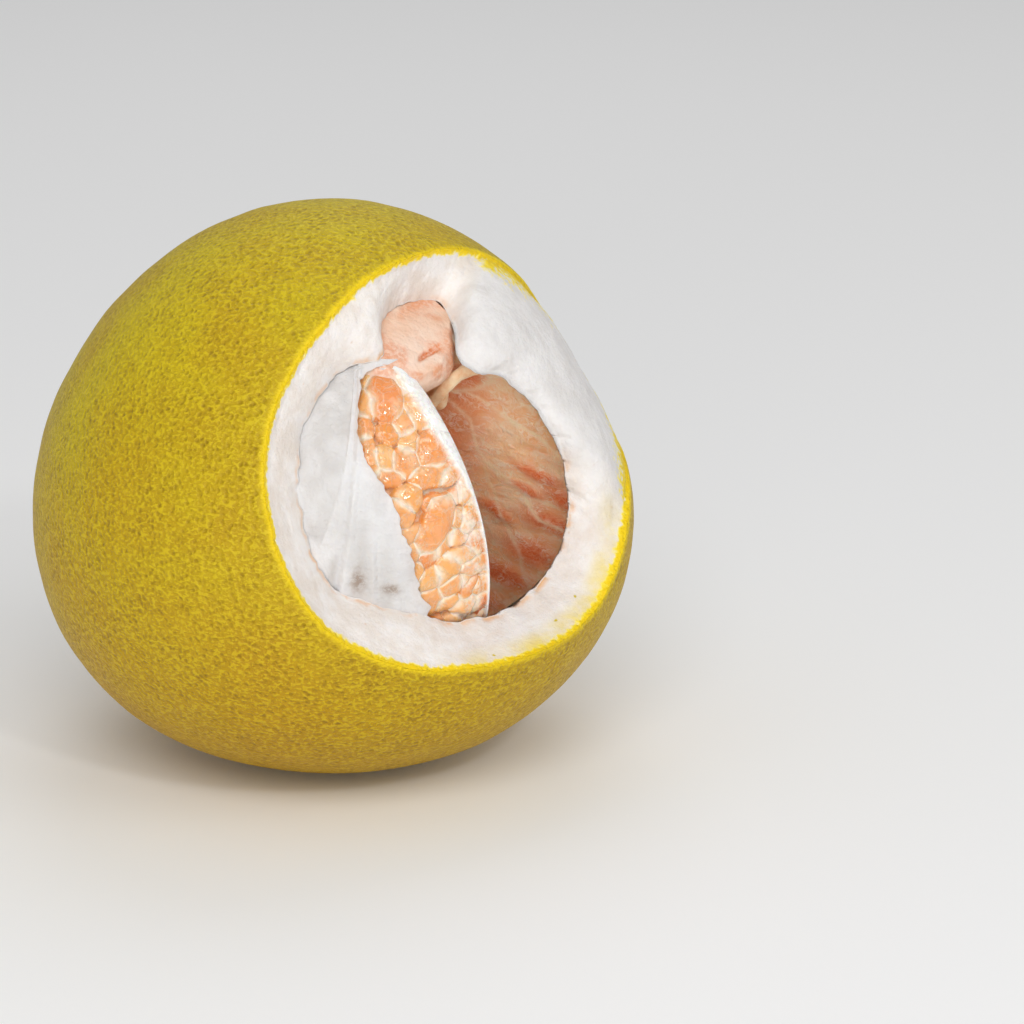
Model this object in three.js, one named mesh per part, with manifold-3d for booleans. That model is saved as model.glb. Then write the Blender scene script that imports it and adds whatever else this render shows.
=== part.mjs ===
// A pomelo that has been opened by hand: a window is peeled in the rind, one segment is taken out
// of the flesh, and the skin is stripped from the segment beside the gap.
// Millimetres, +Z up. The origin is the middle of the small flat spot that the fruit rests on.
// The fruit is worked out about the middle of its flesh, and moved onto its rest spot at the end.
import * as THREE from "three";
import { mergeVertices } from "three/addons/utils/BufferGeometryUtils.js";
import Module from "manifold-3d";

// ---- Driving dimensions, in millimetres and degrees ----
const FLESH_RADIUS = 61; // the flesh at its widest, square to the fruit's axis
const FLESH_HALF_LENGTH = 57.2; // the flesh along the fruit's axis, from its middle to one end
const RIND_AT_SIDES = 14.9; // the rind is this thick where the fruit is widest as it lies
const RIND_AT_TOP = 15.7; // and this thick at the top
const LOW_BULGE = 0.1035; // how far the sides swell low down and draw in towards the top
const BASE_FLATTENING = 0.043; // how far the underside is pressed up by the fruit's own weight
const RIND_SHIFT = new THREE.Vector3(-1.5, -0.4, -0.5); // the flesh isn't quite central in the rind
const AXIS_HEADING = 23.6; // the end of the axis in the window, to the right of straight ahead
const AXIS_ELEVATION = 61.9;
const CORE_RADIUS = 4.2;
const CORE_OFFSET = 5.95; // the core lies this far from the axis of the flesh
const CORE_OFFSET_TURN = 154; // and in this direction round the axis
const WINDOW_HEADING = 29; // the middle of the window, to the right of straight ahead
const WINDOW_ELEVATION = 21.9;
const PITH_LIP = 1.2; // pith left standing over the flesh at the window's inner edge
const ZEST_STEP = 1.8; // how far the torn surface of the pith starts below the zest
const TEAR_ROUNDING = 0.48; // below 1, the torn surface stays high until close to its inner edge
const OPEN_SEGMENT = [250, 290]; // the bare segment beside the gap, round the axis
const GAP_END = 330.3; // the gap runs from the bare segment to here
const WHOLE_SEGMENTS = 9; // the segments that fill the rest of the ring
const SEGMENT_ROUNDING = 1.6; // how far a segment's outer edges are rounded in
const TIP_HEIGHT = 31; // the torn end left in the gap starts this far along the axis
const TIP_REACH = 28; // and reaches this far from the core
const TIP_INSET = 1.5; // and stays this many degrees clear of the gap's two walls
const REST_SINK = 1.5; // how much of the lowest point is pressed flat

// ---- How blunt the rounded shapes are ----
const FLATTENING_POWER = 6; // a higher power keeps the flattening nearer the lowest point
const ROUNDING_POWER = 6; // and the rounding nearer a segment's edges
const CORE_BLUNTNESS = 0.4; // below 1, the core stays full until close to its ends
const PROFILE_SHARPNESS = 9; // a higher power leaves a segment's corners sharper

// ---- Clearances ----
const SEGMENT_CLEARANCE = 0.3; // between one segment and the next, and round the core
const RIND_CLEARANCE = 0.6; // between the flesh and the rind

// The window's two outlines, as [turn clockwise from the top, spread from the window's middle]:
// where the knife left the zest, and the edge of the pith over the flesh. Each point of one
// answers to the same point of the other.
const ZEST_OUTLINE = [
  [345, 39.2], [356, 41.3], [368, 44], [378, 47.8], [387, 52], [396, 57], [406, 63], [418, 73],
  [432, 82], [447, 74], [460, 60.5], [472, 54.5], [484, 51.8], [497, 50], [509, 47.2], [523, 44.2],
  [541, 42.3], [560, 42.7], [580, 43.2], [592, 43], [607, 42], [628, 40.3], [650, 38.6], [673, 36.9],
  [690, 37.2],
];
const PITH_OUTLINE = [
  [342, 28], [350, 34.6], [362, 41.3], [374, 44], [383, 45], [386, 36], [387, 26], [397, 23.5],
  [411, 28], [430, 31.5], [447, 36], [462, 42], [475, 47.5], [490, 48.5], [507, 46], [524, 43.5],
  [541, 41.3], [563, 38.6], [579, 40.3], [586, 42.2], [603, 40], [627, 37.6], [648, 35.3], [666, 33.5],
  [685, 31.6],
];

// ---- Fineness of the surfaces ----
const RIND_COLUMNS = 76;
const OUTSIDE_ROWS = 18;
const CUT_ROWS = 5;
const INSIDE_ROWS = 20;
const PROFILE_POINTS = 30;
const SECTIONS = 5;
const CORE_SIDES = 14;
const CORE_ROWS = 12;

const wasm = await Module();
wasm.setup();

const radians = THREE.MathUtils.degToRad;
const mix = THREE.MathUtils.lerp;
const UP = new THREE.Vector3(0, 0, 1);

// The direction that heads so far to the right of straight ahead (-Y) and rises so far.
function direction(heading, elevation) {
  const level = Math.cos(radians(elevation));
  return new THREE.Vector3(
    Math.sin(radians(heading)) * level,
    -Math.cos(radians(heading)) * level,
    Math.sin(radians(elevation)),
  );
}

// ---- The fruit's own axes: along its axis, level across it, and square to both ----
const AXIS = direction(AXIS_HEADING, AXIS_ELEVATION);
const ACROSS = new THREE.Vector3().crossVectors(UP, AXIS).normalize();
const ASIDE = new THREE.Vector3().crossVectors(AXIS, ACROSS);
const CORE_FOOT = spoke(CORE_OFFSET_TURN).multiplyScalar(CORE_OFFSET);

// The direction that leaves the axis at a turn round it.
function spoke(turn) {
  return ACROSS.clone()
    .multiplyScalar(Math.cos(radians(turn)))
    .addScaledVector(ASIDE, Math.sin(radians(turn)));
}

// The window's axes: out through its middle, to its right, and to its top.
const OUT = direction(WINDOW_HEADING, WINDOW_ELEVATION);
const WINDOW_RIGHT = new THREE.Vector3().crossVectors(UP, OUT).normalize();
const WINDOW_TOP = new THREE.Vector3().crossVectors(OUT, WINDOW_RIGHT);

// The direction at a point of the window's flat map, whose distance from the middle is the spread
// and whose angle is the turn.
function fromMap(point) {
  const spread = point.length();
  if (spread < 1e-9) return OUT.clone();
  const sine = Math.sin(radians(spread)) / spread;
  return OUT.clone()
    .multiplyScalar(Math.cos(radians(spread)))
    .addScaledVector(WINDOW_TOP, point.y * sine)
    .addScaledVector(WINDOW_RIGHT, point.x * sine);
}

function mapPoint(turn, spread) {
  return new THREE.Vector3(Math.sin(radians(turn)), Math.cos(radians(turn)), 0).multiplyScalar(spread);
}

function mapCurve(outline) {
  const points = outline.map(([turn, spread]) => mapPoint(turn, spread));
  return new THREE.CatmullRomCurve3(points, true, "centripetal");
}

// ---- The two bodies that everything is cut from ----
function ellipse(along, radius, halfLength) {
  return 1 / Math.hypot(Math.sqrt(1 - along * along) / radius, along / halfLength);
}

// The point of the flesh's outside, swollen by a clearance, in a direction from its middle.
function fleshPoint(toward, swell = 0) {
  const along = THREE.MathUtils.clamp(toward.dot(AXIS), -1, 1);
  const radius = ellipse(along, FLESH_RADIUS + swell, FLESH_HALF_LENGTH + swell);
  return toward.clone().multiplyScalar(radius);
}

// The point of the rind's outside in a direction from its middle.
function skinPoint(toward) {
  const rise = THREE.MathUtils.clamp(toward.z, -1, 1);
  const round = ellipse(rise, FLESH_RADIUS + RIND_AT_SIDES, FLESH_HALF_LENGTH + RIND_AT_TOP);
  const bulge = 1 - LOW_BULGE * rise * (1 - rise * rise);
  const base = 1 - BASE_FLATTENING * Math.max(0, -rise) ** FLATTENING_POWER;
  return toward
    .clone()
    .multiplyScalar(round * bulge * base)
    .add(RIND_SHIFT);
}

// ---- Closed surfaces from rings of points ----
// Rings run from one end of the body to the other, and a ring of one point closes an end.
function closedSurface(rings) {
  const positions = [];
  const starts = [];
  for (const ring of rings) {
    starts.push(positions.length / 3);
    for (const point of ring) positions.push(point.x, point.y, point.z);
  }
  const index = [];
  for (let r = 0; r + 1 < rings.length; r++) {
    const count = Math.max(rings[r].length, rings[r + 1].length);
    const at = (ring, i) => starts[ring] + (rings[ring].length === 1 ? 0 : i % count);
    for (let i = 0; i < count; i++) {
      if (rings[r].length > 1) index.push(at(r, i), at(r, i + 1), at(r + 1, i));
      if (rings[r + 1].length > 1) index.push(at(r, i + 1), at(r + 1, i + 1), at(r + 1, i));
    }
  }
  const geometry = new THREE.BufferGeometry();
  geometry.setAttribute("position", new THREE.Float32BufferAttribute(positions, 3));
  geometry.setIndex(index);
  return geometry;
}

function solidOf(geometry) {
  const bare = geometry.clone();
  bare.deleteAttribute("normal");
  bare.deleteAttribute("uv");
  const merged = mergeVertices(bare, 1e-4);
  return new wasm.Manifold(
    new wasm.Mesh({
      numProp: 3,
      vertProperties: new Float32Array(merged.attributes.position.array),
      triVerts: new Uint32Array(merged.index.array),
    }),
  );
}

function geometryOf(solid) {
  const mesh = solid.getMesh();
  const geometry = new THREE.BufferGeometry();
  geometry.setAttribute("position", new THREE.Float32BufferAttribute(mesh.vertProperties, 3));
  geometry.setIndex(new THREE.Uint32BufferAttribute(mesh.triVerts, 1));
  geometry.computeVertexNormals();
  return geometry;
}

// ---- The rind: skin and pith in one piece, open at the window and hollow for the flesh ----
function rindGeometry(floorHeight) {
  const zest = mapCurve(ZEST_OUTLINE);
  const pith = mapCurve(PITH_OUTLINE);
  const far = (column) => mapPoint(ZEST_OUTLINE[0][0] + (360 * column) / RIND_COLUMNS, 180);
  const columns = Array.from({ length: RIND_COLUMNS }, (_, i) => i);
  const ring = (place) => columns.map((i) => place(i, i / RIND_COLUMNS));
  // A map point on the way from the window's edge to the far side keeps clear of the middle by
  // turning and spreading separately.
  const away = (edge, column, share) => {
    const back = far(column);
    const turnEdge = Math.atan2(edge.x, edge.y);
    let turnBack = Math.atan2(back.x, back.y);
    turnBack += 2 * Math.PI * Math.round((turnEdge - turnBack) / (2 * Math.PI));
    const turn = THREE.MathUtils.radToDeg(mix(turnEdge, turnBack, share));
    return fromMap(mapPoint(turn, mix(edge.length(), 180, share)));
  };
  const rings = [[skinPoint(OUT.clone().negate())]];
  for (let row = OUTSIDE_ROWS - 1; row >= 0; row--) {
    rings.push(ring((i, t) => skinPoint(away(zest.getPoint(t), i, row / OUTSIDE_ROWS))));
  }
  for (let row = 1; row <= CUT_ROWS; row++) {
    const share = row / CUT_ROWS;
    rings.push(
      ring((i, t) => {
        const place = zest.getPoint(t).lerp(pith.getPoint(t), share);
        const toward = fromMap(place);
        const top = skinPoint(toward).addScaledVector(toward, -ZEST_STEP);
        const low = fleshPoint(toward, PITH_LIP);
        return low.lerp(top, (1 - share) ** TEAR_ROUNDING);
      }),
    );
  }
  for (let row = 0; row < INSIDE_ROWS; row++) {
    const share = row / INSIDE_ROWS;
    rings.push(ring((i, t) => fleshPoint(away(pith.getPoint(t), i, share), RIND_CLEARANCE)));
  }
  rings.push([fleshPoint(OUT.clone().negate(), RIND_CLEARANCE)]);
  const slabSize = 4 * (FLESH_RADIUS + RIND_AT_SIDES); // wider than the fruit on every side
  const slab = new THREE.BoxGeometry(slabSize, slabSize, slabSize);
  slab.translate(0, 0, floorHeight - slabSize / 2);
  return geometryOf(solidOf(closedSurface(rings.reverse())).subtract(solidOf(slab)));
}

// ---- Segments: wedges of the flesh whose points all lie in half-planes from the core ----
// How far a half-plane's profile reaches from its middle at an angle: to the flesh's outside, and
// to each of the straight limits, with the corners between them rounded off.
function profileReach(turn, angle, middle, limits) {
  const away = Math.cos(angle);
  const along = Math.sin(angle);
  const inward = CORE_FOOT.dot(spoke(turn));
  const sideways = CORE_OFFSET ** 2 - inward ** 2;
  const from = middle.away + inward;
  const a = (away / FLESH_RADIUS) ** 2 + (along / FLESH_HALF_LENGTH) ** 2;
  const b = (from * away) / FLESH_RADIUS ** 2 + (middle.along * along) / FLESH_HALF_LENGTH ** 2;
  const c = (from ** 2 + sideways) / FLESH_RADIUS ** 2 + (middle.along / FLESH_HALF_LENGTH) ** 2 - 1;
  const reaches = [(-b + Math.sqrt(b * b - a * c)) / a];
  for (const limit of limits) {
    const speed = limit.away ? limit.side * away : limit.side * along;
    const room = limit.away
      ? limit.side * (limit.away - middle.away)
      : limit.side * (limit.along - middle.along);
    if (speed > 1e-6) reaches.push(room / speed);
  }
  const total = reaches.reduce((sum, reach) => sum + reach ** -PROFILE_SHARPNESS, 0);
  return total ** (-1 / PROFILE_SHARPNESS);
}

function wedgeGeometry(start, end, middle, limits) {
  const centreOf = (turn, shift) =>
    CORE_FOOT.clone()
      .addScaledVector(spoke(turn), middle.away)
      .addScaledVector(AXIS, middle.along)
      .addScaledVector(spoke(turn + 90), shift);
  const section = (turn, shift, inset) =>
    Array.from({ length: PROFILE_POINTS }, (_, i) => {
      const angle = (2 * Math.PI * i) / PROFILE_POINTS;
      const reach = profileReach(turn, angle, middle, limits) - inset;
      return centreOf(turn, shift)
        .addScaledVector(spoke(turn), reach * Math.cos(angle))
        .addScaledVector(AXIS, reach * Math.sin(angle));
    });
  const half = SEGMENT_CLEARANCE / 2;
  const rings = [[centreOf(start, half)]];
  for (let i = 0; i <= SECTIONS; i++) {
    const share = i / SECTIONS;
    const edge = (2 * share - 1) ** ROUNDING_POWER;
    const shift = i === 0 ? half : i === SECTIONS ? -half : 0;
    rings.push(section(mix(start, end, share), shift, SEGMENT_ROUNDING * edge));
  }
  rings.push([centreOf(end, -half)]);
  return closedSurface(rings.reverse());
}

function segmentGeometry(start, end) {
  const edge = CORE_RADIUS + SEGMENT_CLEARANCE;
  const middle = { away: (FLESH_RADIUS + edge) / 2, along: 0 };
  return wedgeGeometry(start, end, middle, [{ side: -1, away: edge }]);
}

// The torn end of the missing segment, left in the gap under the pith.
function tipGeometry() {
  const edge = CORE_RADIUS + SEGMENT_CLEARANCE;
  const middle = {
    away: (TIP_REACH + edge) / 2,
    along: (TIP_HEIGHT + FLESH_HALF_LENGTH) / 2,
  };
  return wedgeGeometry(OPEN_SEGMENT[1] + TIP_INSET, GAP_END - TIP_INSET, middle, [
    { side: -1, away: edge },
    { side: 1, away: TIP_REACH },
    { side: -1, along: TIP_HEIGHT },
  ]);
}

// ---- The core: a column of pith along the line where the segments meet ----
function coreGeometry() {
  const inside = FLESH_HALF_LENGTH * Math.sqrt(1 - ((CORE_OFFSET + CORE_RADIUS) / FLESH_RADIUS) ** 2);
  const profile = [new THREE.Vector2(0, -inside)];
  for (let row = 1; row < CORE_ROWS; row++) {
    const angle = (Math.PI * row) / CORE_ROWS;
    const radius = CORE_RADIUS * Math.sin(angle) ** CORE_BLUNTNESS;
    profile.push(new THREE.Vector2(radius, -inside * Math.cos(angle)));
  }
  profile.push(new THREE.Vector2(0, inside));
  const column = new THREE.LatheGeometry(profile, CORE_SIDES);
  column.applyQuaternion(new THREE.Quaternion().setFromUnitVectors(new THREE.Vector3(0, 1, 0), AXIS));
  column.translate(CORE_FOOT.x, CORE_FOOT.y, CORE_FOOT.z);
  return geometryOf(solidOf(column));
}

// ---- The pieces ----
const ZEST = new THREE.MeshStandardMaterial({ color: 0xc4a912, roughness: 0.45, metalness: 0 });
const PITH = new THREE.MeshStandardMaterial({ color: 0xf3eee2, roughness: 0.85, metalness: 0 });
const FLESH = new THREE.MeshStandardMaterial({ color: 0xe09a62, roughness: 0.35, metalness: 0 });

const fruit = new THREE.Group();

function addPiece(name, geometry, material) {
  const piece = new THREE.Mesh(geometry, material.clone());
  piece.name = name;
  fruit.add(piece);
}

const restSpot = skinPoint(new THREE.Vector3(0, 0, -1));
restSpot.z += REST_SINK;
addPiece("rind", rindGeometry(restSpot.z), ZEST);
addPiece("core", coreGeometry(), PITH);
addPiece("segment_open", segmentGeometry(...OPEN_SEGMENT), FLESH);
addPiece("segment_tip", tipGeometry(), FLESH);

const segmentWidth = (OPEN_SEGMENT[0] + 360 - GAP_END) / WHOLE_SEGMENTS;
for (let i = 0; i < WHOLE_SEGMENTS; i++) {
  const start = GAP_END + i * segmentWidth;
  addPiece(`segment_${i + 1}`, segmentGeometry(start, start + segmentWidth), FLESH);
}

fruit.position.copy(restSpot).negate();
const pomelo = new THREE.Group();
pomelo.add(fruit);

export default pomelo;
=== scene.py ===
import math
import bpy
import numpy as np
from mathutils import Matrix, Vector


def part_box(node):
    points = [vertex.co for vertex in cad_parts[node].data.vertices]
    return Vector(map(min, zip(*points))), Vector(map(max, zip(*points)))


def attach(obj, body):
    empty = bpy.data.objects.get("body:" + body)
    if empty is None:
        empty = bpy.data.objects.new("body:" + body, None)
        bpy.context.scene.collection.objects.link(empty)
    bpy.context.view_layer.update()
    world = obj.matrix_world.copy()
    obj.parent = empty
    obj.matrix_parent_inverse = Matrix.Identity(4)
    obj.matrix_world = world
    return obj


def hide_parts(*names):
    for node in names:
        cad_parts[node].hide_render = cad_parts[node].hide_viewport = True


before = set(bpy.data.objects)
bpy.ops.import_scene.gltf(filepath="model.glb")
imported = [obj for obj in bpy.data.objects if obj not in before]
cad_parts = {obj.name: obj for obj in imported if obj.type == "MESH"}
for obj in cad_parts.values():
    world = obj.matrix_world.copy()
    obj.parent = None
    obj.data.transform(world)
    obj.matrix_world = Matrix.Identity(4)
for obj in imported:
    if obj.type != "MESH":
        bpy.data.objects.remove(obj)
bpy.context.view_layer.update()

MM = 0.001

# ---- The fruit's driving dimensions, in millimetres and degrees, as in the part's source ----
FLESH_RADIUS = 61.0
FLESH_HALF_LENGTH = 57.2
RIND_AT_SIDES = 14.9
RIND_AT_TOP = 15.7
LOW_BULGE = 0.1035
BASE_FLATTENING = 0.043
RIND_SHIFT = np.array([-1.5, -0.4, -0.5])
AXIS_HEADING, AXIS_ELEVATION = 23.6, 61.9
CORE_RADIUS = 4.2
CORE_OFFSET, CORE_OFFSET_TURN = 5.95, 154.0
WINDOW_HEADING, WINDOW_ELEVATION = 29.0, 21.9
PITH_LIP = 1.2
ZEST_STEP = 1.8
FLATTENING_POWER = 6
ROUNDING_POWER = 6
CORE_BLUNTNESS = 0.4
PROFILE_SHARPNESS = 9
TEAR_ROUNDING = 0.48
OPEN_SEGMENT = (250.0, 290.0)
GAP_END = 330.3
WHOLE_SEGMENTS = 9
SEGMENT_WIDTH = (OPEN_SEGMENT[0] + 360 - GAP_END) / WHOLE_SEGMENTS
SEGMENT_ROUNDING = 1.6
SEGMENT_CLEARANCE = 0.3
RIND_CLEARANCE = 0.6
ZEST_OUTLINE = [
    (345, 39.2), (356, 41.3), (368, 44), (378, 47.8), (387, 52), (396, 57), (406, 63), (418, 73),
    (432, 82), (447, 74), (460, 60.5), (472, 54.5), (484, 51.8), (497, 50), (509, 47.2), (523, 44.2),
    (541, 42.3), (560, 42.7), (580, 43.2), (592, 43), (607, 42), (628, 40.3), (650, 38.6), (673, 36.9),
    (690, 37.2),
]
PITH_OUTLINE = [
    (342, 28), (350, 34.6), (362, 41.3), (374, 44), (383, 45), (386, 36), (387, 26), (397, 23.5),
    (411, 28), (430, 31.5), (447, 36), (462, 42), (475, 47.5), (490, 48.5), (507, 46), (524, 43.5),
    (541, 41.3), (563, 38.6), (579, 40.3), (586, 42.2), (603, 40), (627, 37.6), (648, 35.3), (666, 33.5),
    (685, 31.6),
]

# Where the bare segment's skin is torn: (height along the axis, turn of the torn edge).
TORN_EDGE = [
    (-20, 275), (5, 274), (12, 273), (17, 271), (24, 269), (29, 267), (34, 265), (38, 263),
    (41, 259.5), (44.5, 253.5), (49, 251.6), (53.5, 252), (54.4, 257), (54.9, 265), (55.1, 273),
    (55.5, 284),
]

# ---- Fineness of the meshes ----
RIND_COLUMNS = 640
OUTSIDE_ROWS = 84
CUT_ROWS = 48
INSIDE_ROWS = 10

# ---- Looks that the part's source doesn't have ----
EDGE_RADIUS = 75  # about how far the zest's edge lies from the middle
WINDOW_SPREAD = 42  # the window's usual spread, in degrees
REST_GAP = 0.02  # the rind stays this far above the floor
WALL_SINK = 0.9  # how deep the gap's wall lies in its CAD face, before its sacs
SKIN_THICKNESS = 0.5
LUMP_SIZE = (2.8, 3.6, 2.0)


# ---- Directions and bodies, on arrays of points ----
def direction(heading, elevation):
    heading, elevation = math.radians(heading), math.radians(elevation)
    level = math.cos(elevation)
    return np.array([math.sin(heading) * level, -math.cos(heading) * level, math.sin(elevation)])


def length(vector):
    return np.linalg.norm(vector, axis=-1)


def unit(vector):
    return vector / np.linalg.norm(vector, axis=-1, keepdims=True)


UP = np.array([0.0, 0.0, 1.0])
AXIS = direction(AXIS_HEADING, AXIS_ELEVATION)
ACROSS = unit(np.cross(UP, AXIS))
ASIDE = np.cross(AXIS, ACROSS)
OUT = direction(WINDOW_HEADING, WINDOW_ELEVATION)
WINDOW_RIGHT = unit(np.cross(UP, OUT))
WINDOW_TOP = np.cross(OUT, WINDOW_RIGHT)


def spoke(turn):
    turn = np.radians(np.asarray(turn, float))[..., None]
    return np.cos(turn) * ACROSS + np.sin(turn) * ASIDE


CORE_FOOT = CORE_OFFSET * spoke(CORE_OFFSET_TURN)
core_low, core_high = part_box("core")
MIDDLE = np.array((core_low + core_high) / 2) / MM - CORE_FOOT  # the middle of the flesh, in mm


def from_map(place):
    """Directions at points of the window's flat map: distance is the spread, angle the turn."""
    spread = np.linalg.norm(place, axis=-1, keepdims=True)
    sine = np.sin(np.radians(spread)) / np.maximum(spread, 1e-9)
    return (
        np.cos(np.radians(spread)) * OUT
        + place[..., 1:2] * sine * WINDOW_TOP
        + place[..., 0:1] * sine * WINDOW_RIGHT
    )


def map_point(turn, spread):
    turn = np.radians(turn)
    return np.stack([np.sin(turn) * spread, np.cos(turn) * spread], -1)


def outline(points, samples):
    """A smooth closed line through (turn, spread) points, on the flat map."""
    return closed_curve(map_point(*np.array(points, float).T), samples)


def closed_curve(points, samples):
    """A closed centripetal Catmull-Rom curve through the points, at evenly spaced shares."""
    points = np.asarray(points, float)
    count = len(points)
    share = np.arange(samples) / samples * count
    first = np.floor(share).astype(int)
    local = (share - first)[:, None]
    p0, p1, p2, p3 = (points[(first + k) % count] for k in (-1, 0, 1, 2))
    d0, d1, d2 = (np.sqrt(length(b - a))[:, None] for a, b in ((p0, p1), (p1, p2), (p2, p3)))
    m1 = ((p1 - p0) / d0 - (p2 - p0) / (d0 + d1) + (p2 - p1) / d1) * d1
    m2 = ((p2 - p1) / d1 - (p3 - p1) / (d1 + d2) + (p3 - p2) / d2) * d1
    square, cube = local**2, local**3
    return (
        p1 + m1 * local + (3 * (p2 - p1) - 2 * m1 - m2) * square
        + (2 * (p1 - p2) + m1 + m2) * cube
    )


def ellipse(along, radius, half_length):
    along = np.clip(along, -1, 1)
    return 1 / np.sqrt((1 - along**2) / radius**2 + along**2 / half_length**2)


def flesh_radius(toward, swell):
    return ellipse(toward @ AXIS, FLESH_RADIUS + swell, FLESH_HALF_LENGTH + swell)[..., None]


def skin_point(toward):
    """The rind's outside, from the middle of the flesh."""
    rise = np.clip(toward[..., 2:3], -1, 1)
    round_ = ellipse(rise, FLESH_RADIUS + RIND_AT_SIDES, FLESH_HALF_LENGTH + RIND_AT_TOP)
    bulge = 1 - LOW_BULGE * rise * (1 - rise**2)
    base = 1 - BASE_FLATTENING * np.maximum(0, -rise) ** FLATTENING_POWER
    return toward * round_ * bulge * base + RIND_SHIFT


# ---- Noise, the same on every run ----
def lattice(i, j, k, seed):
    n = (i * 73856093) ^ (j * 19349663) ^ (k * 83492791) ^ (seed * 40503)
    n = (n ^ (n >> 13)) * 1274126177 & 0xFFFFFFFF
    n = (n ^ (n >> 16)) * 2246822519 & 0xFFFFFFFF
    return ((n ^ (n >> 15)) & 0xFFFF) / 32767.5 - 1


def grain(points, cell, seed=1):
    """Smooth noise from -1 to 1 at points of shape (..., 3), with lumps about a cell apart."""
    q = np.asarray(points, float) / cell + 1000.5
    base = np.floor(q).astype(np.int64)
    f = q - base
    f = f * f * (3 - 2 * f)
    total = 0
    for corner in range(8):
        di, dj, dk = corner & 1, corner >> 1 & 1, corner >> 2 & 1
        weight = (
            (f[..., 0] if di else 1 - f[..., 0])
            * (f[..., 1] if dj else 1 - f[..., 1])
            * (f[..., 2] if dk else 1 - f[..., 2])
        )
        total = total + weight * lattice(base[..., 0] + di, base[..., 1] + dj, base[..., 2] + dk, seed)
    return total


def smooth(low, high, value):
    share = np.clip((value - low) / (high - low), 0, 1)
    return share * share * (3 - 2 * share)


def mix(a, b, share):
    return a + (b - a) * share


def bell(x):
    return np.exp(-(x**2))


def circle(count):
    """Angles evenly spaced round a circle."""
    return 2 * np.pi * np.arange(count) / count


# ---- Meshes ----
def new_object(name, data):
    thing = bpy.data.objects.new(name, data)
    bpy.context.scene.collection.objects.link(thing)
    return thing


def make_mesh(name, points, faces, attributes):
    """A mesh from points in millimetres about the middle of the flesh."""
    mesh = bpy.data.meshes.new(name)
    placed = (np.asarray(points) + MIDDLE) * MM
    mesh.from_pydata(placed.tolist(), [], faces)
    for key, values in attributes.items():
        values = np.asarray(values, np.float32)
        kind = "FLOAT_VECTOR" if values.ndim == 2 else "FLOAT"
        layer = mesh.attributes.new(key, kind, "POINT")
        layer.data.foreach_set("vector" if values.ndim == 2 else "value", values.ravel())
    mesh.polygons.foreach_set("use_smooth", [True] * len(mesh.polygons))
    mesh.validate()
    mesh.update()
    return new_object(name, mesh)


def ring_faces(rings):
    """Faces of a closed surface of equal rings, whose ends are closed by a single point each.
    Points are numbered first end, rings in order, last end."""
    rows, count = rings
    faces = []
    start = 1
    for i in range(count):
        faces.append((0, start + (i + 1) % count, start + i))
    for r in range(rows - 1):
        a, b = start + r * count, start + (r + 1) * count
        for i in range(count):
            j = (i + 1) % count
            faces.append((a + i, a + j, b + j, b + i))
    last = start + (rows - 1) * count
    for i in range(count):
        faces.append((last + i, last + (i + 1) % count, start + rows * count))
    return faces


def ring_surface(name, first, rings, last, attributes=None):
    rows, count = rings.shape[:2]
    points = np.vstack([[first], rings.reshape(-1, 3), [last]])
    full = {}
    for key, values in (attributes or {}).items():
        flat = values.reshape(rows * count, -1)
        full[key] = np.vstack([flat[:1], flat, flat[-1:]])
        if full[key].shape[1] == 1:
            full[key] = full[key][:, 0]
    faces = ring_faces((rows, count))
    centre = points.mean(0)
    a, b, c = (points[[f[k] for f in faces]] for k in (0, 1, 2))
    if (np.cross(b - a, c - a) * (a - centre)).sum() < 0:
        faces = [tuple(reversed(f)) for f in faces]
    return make_mesh(name, points, faces, full)


def finish_piece(piece, material, slot, *nodes):
    piece.data.materials.append(material)
    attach(piece, "root")
    if nodes:
        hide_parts(*nodes)
    return piece


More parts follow.
